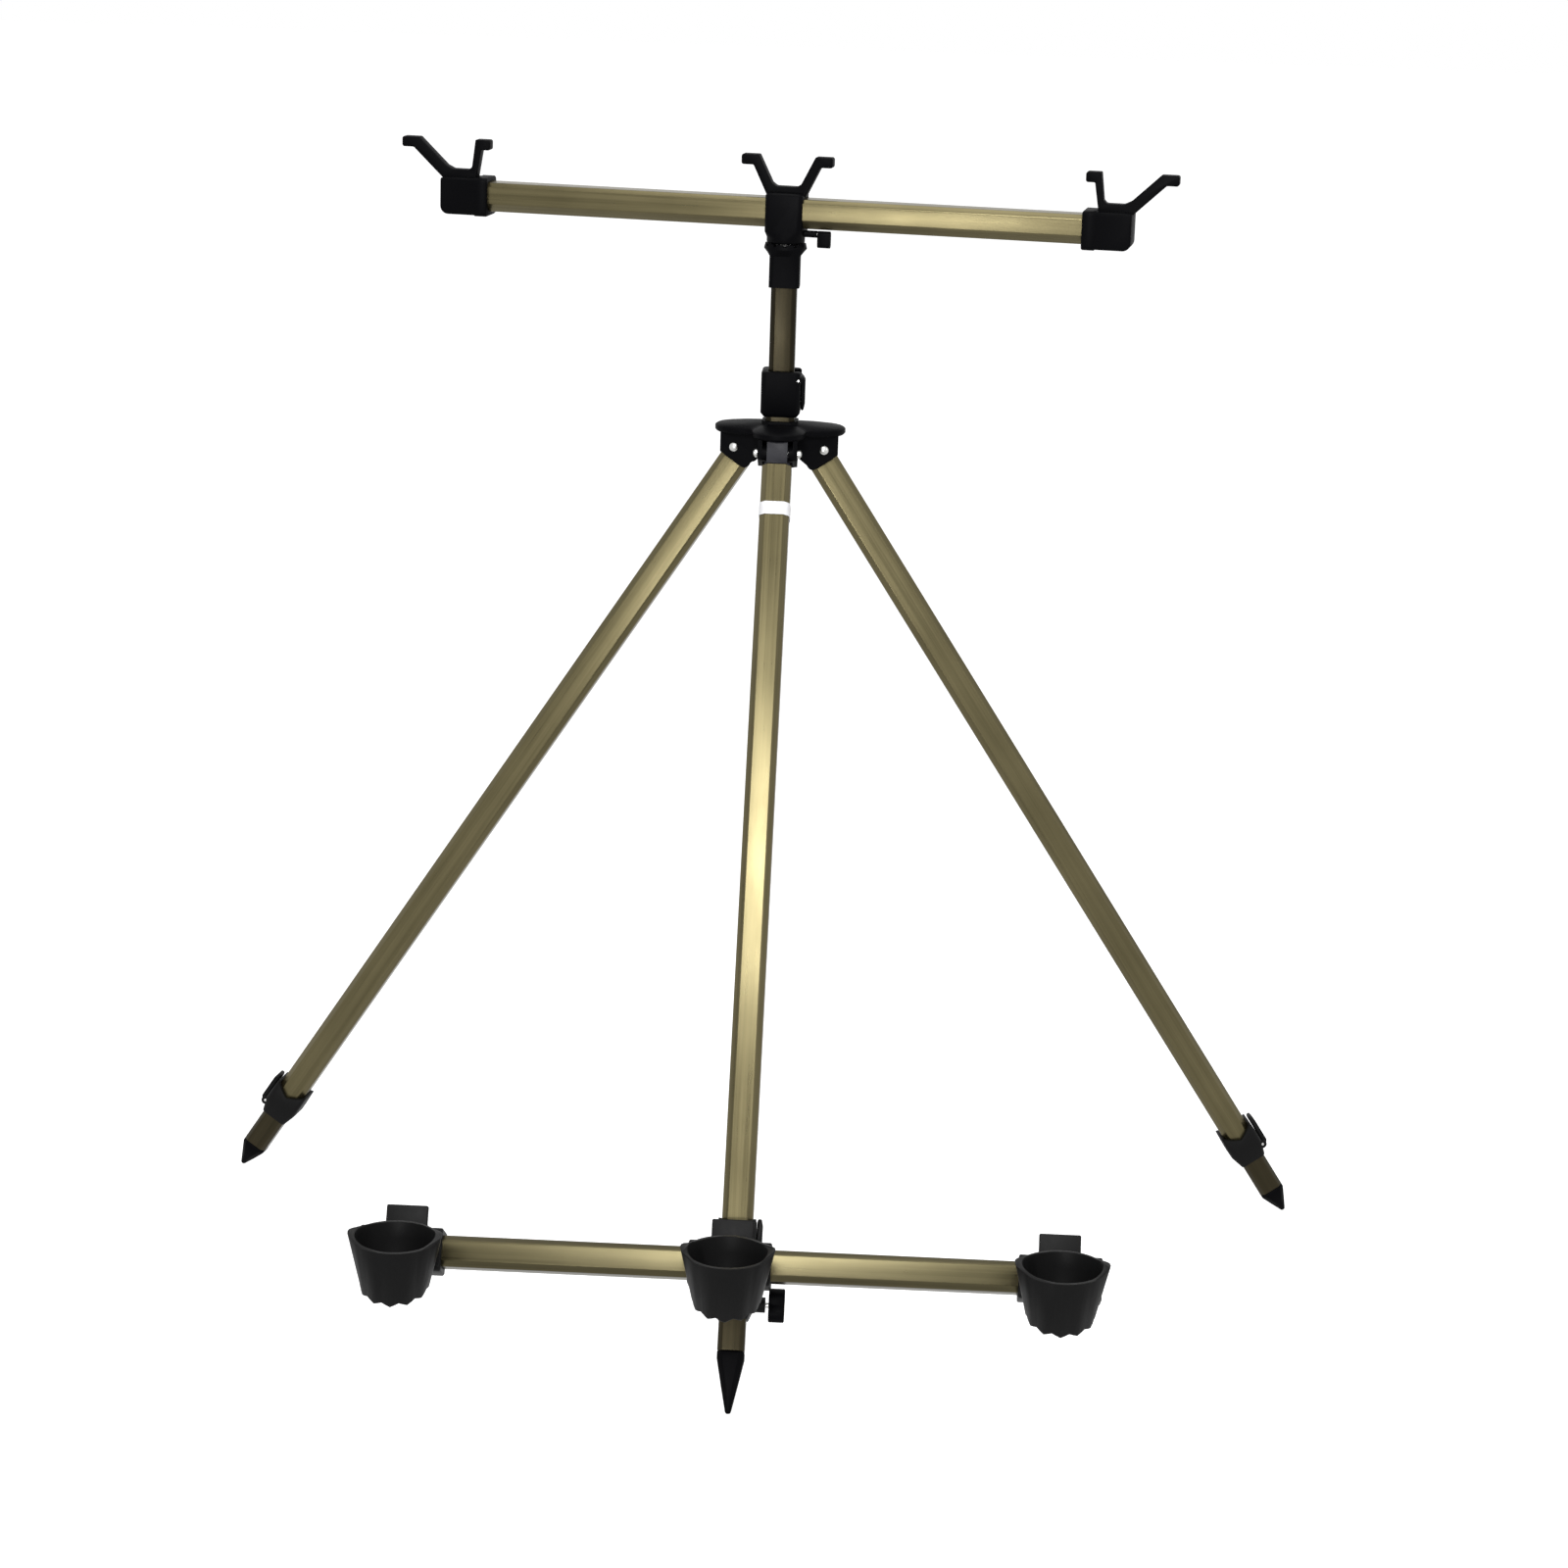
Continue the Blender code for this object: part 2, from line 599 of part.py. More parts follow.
def make_mast(frame):
    low = SOCKET_LOW + SOCKET_FLOOR + SEAT_GAP
    mesh = tube_mesh("mast_outer_tube", 0.0, low, MAST_TUBE_TOP)
    paint_tube(add_object("mast_outer_tube", mesh, frame), BRONZE)
    collar_mesh = ring_mesh("mast_lock_collar", mast_collar_rings(), hollow=True)
    collar = add_object("mast_lock_collar", collar_mesh, frame)
    lever_turn = (math.pi, 0.0, -math.pi / 2)
    lever_frame = add_object("mast_lever_frame", None, frame, (LEVER_OUT, 0.0, MAST_LEVER_Z), lever_turn)
    add_lever(collar, "mast", lever_frame, MAST_COLLAR_HALF)
    paint_plastic(collar)
    tube_low = low + 3.6 * MM
    mesh = tube_mesh("mast_inner_tube", INNER_INSET, tube_low, MAST_INNER_TOP)
    paint_tube(add_object("mast_inner_tube", mesh, frame), BRONZE)
    mesh = end_plug_mesh("mast_end_plug", low, tube_low - SEAT_GAP, tube_low + 12.0 * MM)
    paint_plastic(add_object("mast_end_plug", mesh, frame))


def make_swivel(frame):
    floor = MAST_INNER_TOP + 5.0 * MM
    bore = INNER_WIDTH / 2 + SEAT_GAP
    crown = HEAD_LOW - SEAT_GAP
    deck = crown - 2.2 * MM
    stations = (
        (floor, rounded_outline(bore, 2.4 * MM)),
        (SLEEVE_LOW, rounded_outline(bore, 2.4 * MM)),
        (SLEEVE_LOW, rounded_outline(SLEEVE_HALF, 3.2 * MM)),
        (RING_LOW - 2.0 * MM, rounded_outline(SLEEVE_HALF, 3.6 * MM)),
        (RING_LOW + 3.0 * MM, round_outline(RING_RADIUS)),
        (crown, round_outline(RING_RADIUS - 0.8 * MM)),
        (crown, round_outline(12.4 * MM)),
        (deck, round_outline(12.4 * MM)),
    )
    rings = [placed(outline, level, "z") for level, outline in stations]
    sleeve = add_object("swivel_sleeve", ring_mesh("swivel_sleeve", rings), frame)
    for index in range(RING_TEETH // 2):
        label = "ring_gap_{}".format(index + 1)
        outline = [(-20 * MM, deck + 0.5 * MM), (20 * MM, deck + 0.5 * MM), (20 * MM, crown + MM), (-20 * MM, crown + MM)]
        turn = (0.0, 0.0, math.pi * index / (RING_TEETH // 2))
        gap = add_object(label, prism_mesh(label, outline, -1.1 * MM, 1.1 * MM, "y"), frame, rotation=turn)
        cut(sleeve, gap)
    hole = prism_mesh("swivel_hole", circle_outline(SWIVEL_RADIUS + PIN_GAP), floor - MM, HEAD_LOW, "z")
    cut(sleeve, add_object("swivel_hole", hole, frame))
    paint_plastic(sleeve)
    head = circle_outline(7.0 * MM)
    shank = circle_outline(SWIVEL_RADIUS)
    stations = ((MAST_INNER_TOP + 0.8 * MM, head), (floor - SEAT_GAP, head),
                (floor - SEAT_GAP, shank), (TAB_AXIS_Z + 2.4 * MM, shank))
    mesh = ring_mesh("swivel_bolt", [placed(outline, level, "z") for level, outline in stations])
    paint_steel(add_object("swivel_bolt", mesh, frame))


# Head

# A rod fork seen from the front: a flat valley between two arms whose hooks point away from it.
# Each arm is (valley edge, hook's inner corner, arm's outer edge under the hook, hook's end, root).
def fork_outline(right, left, root_z):
    under = HOOK_TOP - HOOK_THICKNESS
    outline = []
    for side, arm in ((1, right), (-1, left)):
        edge, corner, back, hook, root = arm
        lean = (corner - edge) / (HOOK_TOP - FORK_VALLEY)
        foot = edge + (2.4 * lean + 0.2) * MM
        points = [(root, root_z), (back, under), (hook - MM, under), (hook, under + MM), (hook, HOOK_TOP - MM),
                  (hook - MM, HOOK_TOP), (corner, HOOK_TOP), (foot, FORK_VALLEY + 2.4 * MM),
                  (edge - 1.2 * MM, FORK_VALLEY + 0.5 * MM), (edge - 2.6 * MM, FORK_VALLEY)]
        points = [(side * x, z) for x, z in points]
        outline += points if side > 0 else points[::-1]
    return outline


MIDDLE_ARM = (9.8 * MM, 21.4 * MM, 25.2 * MM, 34.3 * MM, 13.2 * MM)
OUTER_ARM = (9.6 * MM, 33.6 * MM, 37.8 * MM, 46.6 * MM, 12.0 * MM)
INNER_ARM = (7.2 * MM, 10.2 * MM, 14.6 * MM, 21.4 * MM, 10.6 * MM)


def make_head(frame):
    lower = round_outline(HEAD_HALF)
    upper = rounded_outline(HEAD_HALF, 4.0 * MM)
    stations = ((HEAD_LOW, round_outline(HEAD_HALF - 0.8 * MM)),
                (HEAD_LOW + 1.0 * MM, lower), (HEAD_LOW + 4.0 * MM, lower),
                (HEAD_LOW + 9.0 * MM, upper), (HEAD_TOP - 1.5 * MM, upper),
                (HEAD_TOP, rounded_outline(HEAD_HALF - 1.5 * MM, 3.0 * MM)))
    rings = [placed(outline, level, "z") for level, outline in stations]
    head = add_object("head_body", ring_mesh("head_body", rings), frame)
    outline = fork_outline(MIDDLE_ARM, MIDDLE_ARM, HEAD_TOP - FORK_ROOT)
    fork = add_object("middle_fork", prism_mesh("middle_fork", outline, -FORK_DEPTH / 2, FORK_DEPTH / 2, "y"), frame)
    join(head, soften(fork, 1.0 * MM))
    boss_outline = circle_outline(TAB_RADIUS)
    boss = prism_mesh("tab_boss", boss_outline, HEAD_HALF - 4.0 * MM, 23.6 * MM, "x")
    join(head, add_object("tab_boss", boss, frame, (0.0, 0.0, TAB_AXIS_Z)))
    bore = prism_mesh("head_bar_bore", bar_outline(SEAT_GAP / 2), -20 * MM, 20 * MM, "x")
    cut(head, add_object("head_bar_bore", bore, frame, (0.0, 0.0, BAR_Z)))
    socket = prism_mesh("head_socket", circle_outline(SWIVEL_RADIUS + PIN_GAP), HEAD_LOW - MM, TAB_AXIS_Z + 2.7 * MM, "z")
    cut(head, add_object("head_socket", socket, frame))
    hole = prism_mesh("tab_hole", circle_outline(1.7 * MM, 16), SWIVEL_RADIUS / 2, 25 * MM, "x")
    cut(head, add_object("tab_hole", hole, frame, (0.0, 0.0, TAB_AXIS_Z)))
    paint_plastic(head)


def make_lock_tab(frame):
    axis_frame = add_object("tab_frame", None, frame, (0.0, 0.0, TAB_AXIS_Z))
    outline = arc((0.0, 0.0), TAB_RADIUS, 0.0, 180.0, 8)
    outline += arc((0.0, TAB_RADIUS - TAB_DROP), TAB_RADIUS, 180.0, 360.0, 8)
    tab = add_object("head_lock_tab", prism_mesh("head_lock_tab", outline, 24.0 * MM, 33.7 * MM, "x"), axis_frame)
    hole = prism_mesh("tab_shank_hole", circle_outline(1.7 * MM, 16), 23 * MM, 30.3 * MM, "x")
    cut(tab, add_object("tab_shank_hole", hole, axis_frame))
    paint_plastic(soften(tab, 0.6 * MM))
    mesh = prism_mesh("head_lock_shank", circle_outline(1.6 * MM, 16), SWIVEL_RADIUS + SEAT_GAP, 30.0 * MM, "x")
    paint_steel(add_object("head_lock_shank", mesh, axis_frame))


def make_rod_bar(frame):
    low = BAR_SHIFT - BAR_HALF_LENGTH
    high = BAR_SHIFT + BAR_HALF_LENGTH
    mesh = pipe_mesh("rod_bar", bar_outline(0.0), bar_outline(-TUBE_WALL), low, high, "x")
    paint_tube(add_object("rod_bar", mesh, frame, (0.0, 0.0, BAR_Z)))


def cap_outline():
    low = -CAP_HALF
    length = CAP_GRIP + CAP_END_WALL
    corner = 6.0 * MM
    outline = [(0.0, low), (length - corner, low)]
    outline += arc((length - corner, low + corner), corner, -75.0, 0.0, 5)
    outline += [(length, CAP_HALF), (0.0, CAP_HALF)]
    return outline


def make_end_fork(side, name, frame):
    turn = (0.0, 0.0, 0.0 if side > 0 else math.pi)
    place = (BAR_SHIFT + side * (BAR_HALF_LENGTH - CAP_GRIP), 0.0, 0.0)
    end = add_object(name + "_frame", None, frame, place, turn)
    lift = (0.0, 0.0, BAR_Z)
    mesh = prism_mesh(name, cap_outline(), -CAP_HALF, CAP_HALF, "y")
    cap = soften(add_object(name, mesh, end, lift), 1.6 * MM)
    rim_outline = rounded_outline(CAP_HALF + 0.7 * MM, 3.0 * MM, 3, 1)
    rim = prism_mesh(name + "_rim", rim_outline, -0.2 * MM, 10.0 * MM, "x")
    join(cap, soften(add_object(name + "_rim", rim, end, lift), 0.8 * MM, 1))
    outline = fork_outline(OUTER_ARM, INNER_ARM, HEAD_TOP - FORK_ROOT)
    fork = prism_mesh(name + "_arms", outline, -FORK_DEPTH / 2, FORK_DEPTH / 2, "y")
    fork_place = (CAP_GRIP + CAP_END_WALL - END_FORK_PLACE, 0.0, 0.0)
    join(cap, soften(add_object(name + "_arms", fork, end, fork_place), 0.8 * MM))
    depth = CAP_GRIP + SEAT_GAP
    pocket = prism_mesh(name + "_pocket", bar_outline(SEAT_GAP / 2), -MM, depth, "x")
    cut(cap, add_object(name + "_pocket", pocket, end, lift))
    paint_plastic(cap)


# Lower rest

def leg_point(x, out, down):
    turn = Matrix.Rotation(-FRONT_LEAN, 3, "X")
    pin = Vector((0.0, MAST_Y - PIN_REACH, PIVOT_HEIGHT))
    return pin + turn @ Vector((x, PIN_OFFSET - out, -down))


def base_height(y):
    return CUP_BASE_Z + y * math.tan(CUP_BASE_SLOPE)


def cup_shell_rings():
    rings = [[], [], [], []]
    for index in range(CUP_POINTS):
        angle = 2 * math.pi * index / CUP_POINTS
        x, y = math.cos(angle), math.sin(angle)
        phase = abs(index * CUP_TEETH % CUP_POINTS - CUP_POINTS / 2) / (CUP_POINTS / 2)
        horn = max(0.0, abs(x) - 0.9) / 0.1
        base = base_height(y * CUP_BASE_RADIUS)
        inset = CUP_BASE_RADIUS - 4.0 * MM
        low = CUP_BASE_RADIUS - 0.8 * MM
        rim = CUP_RIM_RADIUS + 2.4 * MM * horn
        rings[0].append((x * inset, y * inset, base_height(y * inset)))
        rings[1].append((x * low, y * low, base - 2.6 * MM * phase))
        rings[2].append((x * CUP_BASE_RADIUS, y * CUP_BASE_RADIUS, base - 2.6 * MM * phase + 0.8 * MM))
        rings[3].append((x * rim, y * rim, CUP_RIM_Z + 0.5 * MM * y + 3.0 * MM * horn))
    return rings


def cup_cavity_rings():
    floor_radius = CUP_BASE_RADIUS - CUP_WALL + 0.4 * MM
    floor = [(x, y, base_height(y) + CUP_WALL) for x, y in circle_outline(floor_radius, 40)]
    mouth = placed(circle_outline(CUP_RIM_RADIUS - CUP_WALL, 40), CUP_RIM_Z, "z")
    over = placed(circle_outline(CUP_RIM_RADIUS - 0.4 * MM, 40), CUP_RIM_Z + 16.0 * MM, "z")
    return [floor, mouth, over]


def back_tab_outline():
    half = BACK_TAB_WIDTH / 2
    fillet = 7.0 * MM
    sleeve_top = GRIP_HALF
    side = arc((half + fillet, sleeve_top + fillet - MM), fillet, 180.0, 270.0, 5)
    right = [(half, BACK_TAB_UP)] + side + [(half + fillet, sleeve_top - 5.0 * MM)]
    left = [(-x, z) for x, z in right[::-1]]
    return right + left


def make_cup(name, index, grip_ends):
    x = BAR_SHIFT + index * CUP_PITCH
    centre = leg_point(x, CUP_BAR_OUT, CUP_BAR_DOWN)
    upright = add_object(name + "_frame", None, None, centre)
    sloped = add_object(name + "_grip_frame", None, upright, rotation=(-FRONT_LEAN, 0.0, 0.0))
    mouth = (0.0, -CUP_FORWARD, 0.0)
    cup = add_object(name, ring_mesh(name, cup_shell_rings()), upright, mouth)
    web_outline = [(-20.0 * MM, -4.0 * MM), (2.0 * MM, -8.0 * MM), (2.0 * MM, 14.0 * MM), (-20.0 * MM, 20.0 * MM)]
    web = prism_mesh(name + "_web", web_outline, -14.7 * MM, 14.7 * MM, "x")
    join(cup, add_object(name + "_web", web, upright))
    grip = prism_mesh(name + "_grip", rounded_outline(GRIP_HALF, 4.0 * MM, 3, 1), -GRIP_LENGTH / 2, GRIP_LENGTH / 2, "x")
    join(cup, soften(add_object(name + "_grip", grip, sloped), 0.8 * MM, 1))
    tab = prism_mesh(name + "_tab", back_tab_outline(), GRIP_HALF - 5.0 * MM, GRIP_HALF - MM, "y")
    join(cup, soften(add_object(name + "_tab", tab, sloped), 0.8 * MM, 1))
    if index == 0:
        add_leg_bracket(cup, name, sloped)
    cavity = ring_mesh(name + "_cavity", cup_cavity_rings())
    cut(cup, add_object(name + "_cavity", cavity, upright, mouth))
    drain = prism_mesh(name + "_drain", circle_outline(3.0 * MM, 16), -30 * MM, 0.0, "z")
    cut(cup, add_object(name + "_drain", drain, upright, mouth))
    bore = prism_mesh(name + "_bar_bore", tube_outline(SEAT_GAP / 2), grip_ends[0], grip_ends[1], "x")
    cut(cup, add_object(name + "_bar_bore", bore, sloped))
    paint_plastic(cup)


# The bracket's own places are measured in the grip's frame, from the lower bar's middle
def add_leg_bracket(cup, name, sloped):
    top = CUP_BAR_DOWN - BRACKET_TOP
    end = CUP_BAR_DOWN - BRACKET_END
    screw = CUP_BAR_DOWN - WING_DOWN
    leg_side = (-BAR_SHIFT, CUP_BAR_OUT, 0.0)
    stations = ((end, COLLAR_MOUTH), (end + 9.0 * MM, BRACKET_HALF), (top - 1.2 * MM, BRACKET_HALF),
                (top, BRACKET_HALF - 1.2 * MM))
    rings = [placed(rounded_outline(half, 3.4 * MM, 3, 1), level, "z") for level, half in stations]
    join(cup, add_object(name + "_bracket", ring_mesh(name + "_bracket", rings), sloped, leg_side))
    bridge_outline = [(BRACKET_HALF - CUP_BAR_OUT - 3 * MM, end + 14 * MM), (6 * MM, end + 14 * MM), (6 * MM, 0.0),
                      (BRACKET_HALF - CUP_BAR_OUT - 3 * MM, 0.0)]
    bridge_outline = [(-y, z) for y, z in bridge_outline]
    bridge = prism_mesh(name + "_bridge", bridge_outline, -10.0 * MM, 10.0 * MM, "x")
    join(cup, add_object(name + "_bridge", bridge, sloped, (-BAR_SHIFT, 0.0, 0.0)))
    boss = prism_mesh(name + "_screw_boss", circle_outline(5.5 * MM), 12.0 * MM, WING_INNER - 2.4 * MM, "x")
    join(cup, add_object(name + "_screw_boss", boss, sloped, (-BAR_SHIFT, CUP_BAR_OUT, screw)))
    bore = prism_mesh(name + "_leg_bore", tube_outline(-TUBE_WALL), end - MM, top + MM, "z")
    cut(cup, add_object(name + "_leg_bore", bore, sloped, leg_side))
    hole = prism_mesh(name + "_screw_hole", circle_outline(2.1 * MM, 16), 5.0 * MM, WING_INNER, "x")
    cut(cup, add_object(name + "_screw_hole", hole, sloped, (-BAR_SHIFT, CUP_BAR_OUT, screw)))


def make_wing_screw():
    centre = leg_point(0.0, 0.0, WING_DOWN)
    frame = add_object("wing_frame", None, None, centre, (-FRONT_LEAN, 0.0, 0.0))
    outline = []
    for step in range(28):
        angle = 2 * math.pi * step / 28
        reach = 5.0 * MM + (WING_RADIUS - 5.0 * MM) * abs(math.sin(angle)) ** 1.6
        outline.append((reach * math.cos(angle), reach * math.sin(angle)))
    mesh = prism_mesh("bracket_wing", outline, WING_INNER, WING_OUTER, "x")
    wing = soften(add_object("bracket_wing", mesh, frame), 0.8 * MM)
    hole = prism_mesh("wing_shank_hole", circle_outline(2.1 * MM, 16), WING_INNER - MM, 32.3 * MM, "x")
    cut(wing, add_object("wing_shank_hole", hole, frame))
    paint_plastic(wing)
    low = INNER_WIDTH / 2 + SEAT_GAP
    mesh = prism_mesh("bracket_screw_shank", circle_outline(2.0 * MM, 16), low, 32.0 * MM, "x")
    paint_steel(add_object("bracket_screw_shank", mesh, frame))


def make_lower_rest():
    centre = leg_point(BAR_SHIFT, CUP_BAR_OUT, CUP_BAR_DOWN)
    mesh = tube_mesh("cup_bar", 0.0, -CUP_BAR_HALF, CUP_BAR_HALF, "x")
    paint_tube(add_object("cup_bar", mesh, None, centre, (-FRONT_LEAN, 0.0, 0.0)))
    inside = CUP_BAR_HALF - CUP_PITCH + SEAT_GAP
    through = GRIP_LENGTH / 2 + MM
    make_cup("left_rod_cup", -1, (-inside, through))
    make_cup("middle_rod_cup", 0, (-through, through))
    make_cup("right_rod_cup", 1, (-through, inside))
    make_wing_screw()


def main():
    clear_scene()
    mast_frame = add_object("mast_frame", None, None, (0.0, MAST_Y, PIVOT_HEIGHT))
    head_frame = add_object("head_frame", None, mast_frame, rotation=(0.0, 0.0, HEAD_TURN))
    make_hub(mast_frame)
    for leg in LEGS:
        make_leg(leg)
    make_mast(mast_frame)
    make_swivel(mast_frame)
    make_head(head_frame)
    make_lock_tab(head_frame)
    make_rod_bar(head_frame)
    make_end_fork(-1, "left_end_fork", head_frame)
    make_end_fork(1, "right_end_fork", head_frame)
    make_lower_rest()


main()
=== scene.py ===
import json
import math
import bmesh
import bpy
from mathutils import Matrix, Vector


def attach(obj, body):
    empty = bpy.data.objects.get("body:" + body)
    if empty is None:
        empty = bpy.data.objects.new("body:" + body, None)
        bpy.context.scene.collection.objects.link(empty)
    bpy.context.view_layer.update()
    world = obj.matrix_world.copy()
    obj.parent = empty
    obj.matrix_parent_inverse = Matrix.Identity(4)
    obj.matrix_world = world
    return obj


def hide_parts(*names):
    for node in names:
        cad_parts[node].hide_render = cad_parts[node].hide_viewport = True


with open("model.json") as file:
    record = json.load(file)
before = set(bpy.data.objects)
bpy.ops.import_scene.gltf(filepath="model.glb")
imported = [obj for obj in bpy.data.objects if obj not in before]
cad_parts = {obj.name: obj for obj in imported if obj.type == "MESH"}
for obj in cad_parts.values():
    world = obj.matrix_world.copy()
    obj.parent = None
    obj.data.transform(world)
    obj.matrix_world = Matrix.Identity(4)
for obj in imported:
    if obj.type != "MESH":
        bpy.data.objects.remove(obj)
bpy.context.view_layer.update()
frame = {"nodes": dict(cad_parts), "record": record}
print("frame loaded")

mm = 0.001
mastY = 0.1682
pivotHeight = 0.61966
pivotRadius = 31.6 * mm              # from the mast's middle to each leg's pivot bolt
rodBarRise = 175.3 * mm              # from the pivot bolts up to the rod bar's middle
headTurn = -8.9                      # degrees

# where each leg's frame stands, as in the CAD: a turn about the mast, then a lean, in degrees
legs = {
    "left": {"turn": -100, "lean": 33.0},
    "right": {"turn": 100, "lean": 33.0},
    "front": {"turn": 0, "lean": 29.6},
}

mastMatrix = Matrix.Translation((0, mastY, pivotHeight))


def turnMatrix(degrees, axis):
    return Matrix.Rotation(math.radians(degrees), 4, axis)


def legMatrix(name):
    leg = legs[name]
    turned = mastMatrix @ turnMatrix(leg["turn"], "Z")
    return turned @ Matrix.Translation((0, -pivotRadius, 0)) @ turnMatrix(-leg["lean"], "X")


# the two bars lie across, so their frames are turned until Z runs along the bar
headMatrix = mastMatrix @ turnMatrix(headTurn, "Z")
barMatrix = headMatrix @ Matrix.Translation((0, 0, rodBarRise)) @ turnMatrix(90, "Y")
cupBarMatrix = legMatrix("front") @ turnMatrix(90, "Y")


class Flow:                          # one socket of a shader, which can stand in a sum
    def __init__(self, tree, socket):
        self.tree = tree
        self.socket = socket

    def calc(self, operation, first, second):
        return addNode(self.tree, "ShaderNodeMath", {0: first, 1: second}, {"operation": operation})

    def __add__(self, other):
        return self.calc("ADD", self, other)

    def __radd__(self, other):
        return self.calc("ADD", other, self)

    def __sub__(self, other):
        return self.calc("SUBTRACT", self, other)

    def __rsub__(self, other):
        return self.calc("SUBTRACT", other, self)

    def __mul__(self, other):
        return self.calc("MULTIPLY", self, other)

    def __rmul__(self, other):
        return self.calc("MULTIPLY", other, self)


def feed(tree, socket, value):
    if isinstance(value, Flow):
        tree.links.new(value.socket, socket)
    else:
        socket.default_value = value


def addNode(tree, kind, values, settings=None, output=0):
    node = tree.nodes.new(kind)
    for key, value in (settings or {}).items():
        setattr(node, key, value)
    for key, value in values.items():
        feed(tree, node.inputs[key], value)
    return Flow(tree, node.outputs[output])


def mixed(patterns, shares):         # patterns added up, each by its share
    return sum(pattern * share for pattern, share in zip(patterns, shares))


class Finish:                        # a material under construction
    def __init__(self, name, metallic):
        self.material = bpy.data.materials.new(name)
        self.material.use_nodes = True
        self.tree = self.material.node_tree
        self.shader = self.tree.nodes["Principled BSDF"]
        self.use("Metallic", metallic)

    def use(self, socket, value):
        feed(self.tree, self.shader.inputs[socket], value)

    def add(self, kind, values, settings=None, output=0):
        return addNode(self.tree, kind, values, settings, output)

    def place(self, matrix, scale):
        spot = self.add("ShaderNodeTexCoord", {}, output="Object")
        if matrix is not None:
            back = matrix.inverted()
            turn = back.to_euler("XYZ")
            values = {"Vector": spot, "Location": back.translation, "Rotation": turn}
            spot = self.add("ShaderNodeMapping", values)
        return self.add("ShaderNodeMapping", {"Vector": spot, "Scale": scale})

    def pattern(self, noise, matrix=None):
        values = {
            "Vector": self.place(matrix, (1, 1, noise.get("stretch", 1))),
            "Scale": noise["scale"],
            "Detail": noise["detail"],
            "Roughness": noise.get("roughness", 0.5),
        }
        return self.add("ShaderNodeTexNoise", values)

    def shades(self, mask, pair):
        dark, light = pair
        values = {0: mask, 6: (*dark, 1), 7: (*light, 1)}      # 6 and 7 are the two colours
        return self.add("ShaderNodeMix", values, {"data_type": "RGBA"}, output=2)

    def relief(self, height, depth):
        values = {"Height": height, "Strength": depth["strength"], "Distance": depth["distance"]}
        self.use("Normal", self.add("ShaderNodeBump", values))


anodised = {
    "gold": ((0.080, 0.068, 0.033), (0.165, 0.141, 0.073)),    # dark and light shade
    "bronze": ((0.024, 0.020, 0.010), (0.048, 0.039, 0.021)),
    "mast": ((0.010, 0.008, 0.004), (0.026, 0.021, 0.010)),
    # painted shade: the gold again, darkened to about 0.62 in every channel, for the lower cup bar
    "lower": ((0.050, 0.043, 0.021), (0.102, 0.088, 0.046)),
    "metallic": 0.9,
    "lines": {"scale": 900.0, "stretch": 0.012, "detail": 2.0},    # die lines along each tube
    "streaks": {"scale": 210.0, "stretch": 0.006, "detail": 3.0},
    "cloud": {"scale": 14.0, "detail": 4.0},
    "rub": {"scale": 120.0, "stretch": 0.25, "detail": 5.0, "roughness": 0.62},
    "toneShares": (0.25, 0.45, 0.30),          # of lines, streaks and cloud
    "toneStart": 0.3,
    "toneContrast": 2.2,
    "roughness": 0.15,
    "roughShares": (0.10, 0.12, 0.10),         # of lines, streaks and rub
    "reliefShares": (0.5, 0.3, 0.2),
    "depth": {"strength": 0.14, "distance": 0.10 * mm},
}


def anodisedTube(name, tone, matrix):
    finish = Finish(name, anodised["metallic"])
    lines = finish.pattern(anodised["lines"], matrix)
    streaks = finish.pattern(anodised["streaks"], matrix)
    cloud = finish.pattern(anodised["cloud"], matrix)
    rub = finish.pattern(anodised["rub"], matrix)
    mask = mixed((lines, streaks, cloud), anodised["toneShares"])
    mask = (mask - anodised["toneStart"]) * anodised["toneContrast"]
    finish.use("Base Color", finish.shades(mask, anodised[tone]))
    wear = (lines, streaks, rub)
    finish.use("Roughness", anodised["roughness"] + mixed(wear, anodised["roughShares"]))
    finish.relief(mixed(wear, anodised["reliefShares"]), anodised["depth"])
    return finish.material


plastic = {
    "black": {"shades": ((0.0028, 0.0028, 0.0029), (0.0056, 0.0056, 0.0056)), "shine": 0.10},
    "deep": {"shades": ((0.0012, 0.0012, 0.0016), (0.0026, 0.0026, 0.0032)), "shine": 0.03},
    "blueBlack": {"shades": ((0.008, 0.008, 0.011), (0.014, 0.014, 0.019)), "shine": 0.2},
    "grain": {"scale": 1900.0, "detail": 2.0},     # fine spark-eroded texture of the mould
    "flow": {"scale": 26.0, "detail": 4.0, "roughness": 0.55},
    "scuff": {"scale": 310.0, "stretch": 0.35, "detail": 4.0, "roughness": 0.7},
    "toneShares": (0.6, 0.4),                      # of flow and grain
    "roughness": 0.34,
    "roughShares": (0.14, 0.12),                   # of flow and scuff
    "reliefShares": (0.75, 0.25),                  # of grain and scuff
    "depth": {"strength": 0.22, "distance": 0.10 * mm},
}


def mouldedPlastic(name, tone):
    finish = Finish(name, 0.0)
    finish.use("Specular IOR Level", plastic[tone]["shine"])
    grain = finish.pattern(plastic["grain"])
    flow = finish.pattern(plastic["flow"])
    scuff = finish.pattern(plastic["scuff"])
    mask = mixed((flow, grain), plastic["toneShares"])
    finish.use("Base Color", finish.shades(mask, plastic[tone]["shades"]))
    finish.use("Roughness", plastic["roughness"] + mixed((flow, scuff), plastic["roughShares"]))
    finish.relief(mixed((grain, scuff), plastic["reliefShares"]), plastic["depth"])
    return finish.material


